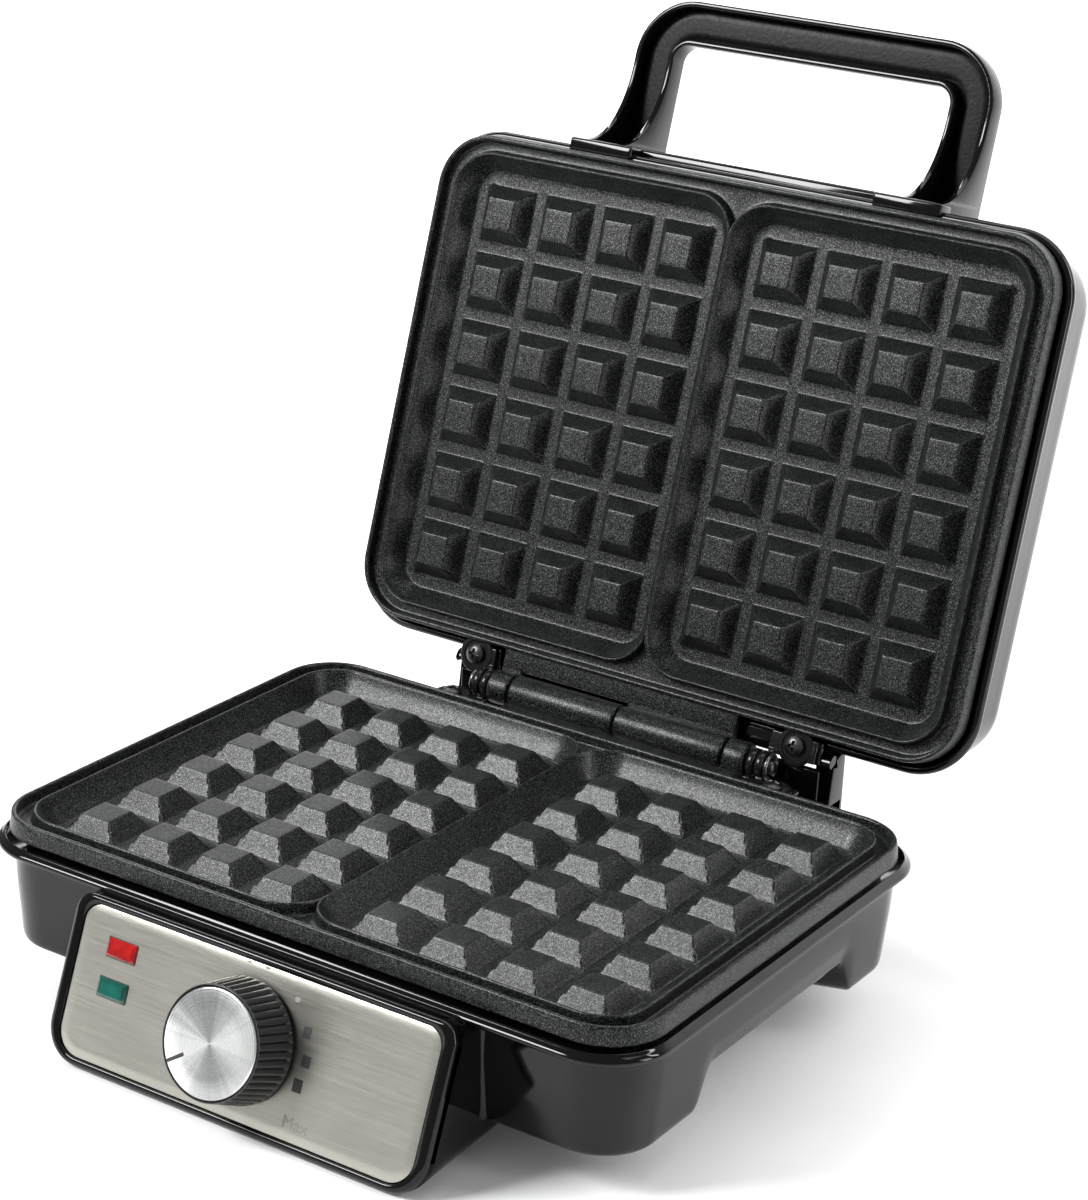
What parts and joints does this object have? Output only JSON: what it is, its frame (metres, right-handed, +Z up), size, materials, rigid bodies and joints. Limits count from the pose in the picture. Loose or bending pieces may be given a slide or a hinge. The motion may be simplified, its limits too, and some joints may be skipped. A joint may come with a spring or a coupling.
{
  "type": "waffle maker",
  "caption": "Open waffle maker with hinged studded cooking plates, carrying handle on the lid and a sloping front console with thermostat knob and indicator lenses.",
  "frame": {"origin": "centre of the overall box in plan, on the surface the feet stand on", "axes": "+Z up, +Y from the control console to the hinge, X along the hinge pin; the lid is drawn open"},
  "size_m": [0.2176, 0.301, 0.253],
  "materials": {
    "gloss_black": "polished black moulding",
    "satin_black": "satin black moulding",
    "nonstick_plate": "die-cast aluminium with dark speckled non-stick coating",
    "element_steel": "heat-darkened steel tube",
    "reflector_sheet": "pressed aluminium sheet",
    "panel_steel": "horizontally brushed stainless steel",
    "lens_red": "translucent red",
    "lens_green": "translucent green",
    "lamp_glass": "clear neon tube",
    "zinc_steel": "bright plated steel",
    "switch_body": "cream heat-resistant moulding",
    "gland_rubber": "black rubber",
    "screw_steel": "black-plated steel",
    "foot_rubber": "matte black rubber",
    "black_arm": "black enamelled steel",
    "knob_black": "satin black, fine vertical ribs",
    "cap_aluminium": "radially spun aluminium"
  },
  "bodies": {
    "base": {"base_shell": "gloss_black", "bottom_cover": "satin_black", "lower_plate": "nonstick_plate", "lower_heating_element": "element_steel", "lower_reflector": "reflector_sheet", "control_housing": "gloss_black", "control_panel": "panel_steel", "power_lens_red": "lens_red", "ready_lens_green": "lens_green", "power_neon_lamp": "lamp_glass", "ready_neon_lamp": "lamp_glass", "thermostat_bracket": "zinc_steel", "thermostat_body": "switch_body", "terminal_block": "switch_body", "cord_gland": "gland_rubber", "hinge_pin": "zinc_steel", "base_hinge_bracket_left": "black_arm", "base_bracket_screw_left": "screw_steel", "pin_clip_left": "zinc_steel", "lower_plate_screw_left": "screw_steel", "foot_pad_front_left": "foot_rubber", "cover_screw_front_left": "screw_steel", "foot_pad_rear_left": "foot_rubber", "cover_screw_rear_left": "screw_steel", "base_hinge_bracket_right": "black_arm", "base_bracket_screw_right": "screw_steel", "pin_clip_right": "zinc_steel", "lower_plate_screw_right": "screw_steel", "foot_pad_front_right": "foot_rubber", "cover_screw_front_right": "screw_steel", "foot_pad_rear_right": "foot_rubber", "cover_screw_rear_right": "screw_steel"},
    "lid": {"lid_shell": "gloss_black", "upper_plate": "nonstick_plate", "upper_heating_element": "element_steel", "upper_reflector": "reflector_sheet", "thermal_fuse": "zinc_steel", "handle_shell": "gloss_black", "handle_grip_cover": "satin_black", "lid_hinge_bracket_left": "black_arm", "lid_bracket_screw_left": "screw_steel", "upper_plate_screw_left": "screw_steel", "handle_screw_left": "screw_steel", "lid_hinge_bracket_right": "black_arm", "lid_bracket_screw_right": "screw_steel", "upper_plate_screw_right": "screw_steel", "handle_screw_right": "screw_steel"},
    "knob": {"knob_skirt": "knob_black", "knob_cap": "cap_aluminium", "thermostat_shaft": "zinc_steel"}
  },
  "joints": [
    {"name": "lid_hinge", "type": "hinge", "parent": "base", "child": "lid", "pos_m": [0, 0.05178, 0.0513], "axis": [1, 0, 0], "range_deg": [0, 106.4]},
    {"name": "knob_turn", "type": "hinge", "parent": "base", "child": "knob", "pos_m": [0, -0.13192, 0.0227], "axis": [0, -0.9397, 0.342], "range_deg": [-250, 0]}
  ]
}
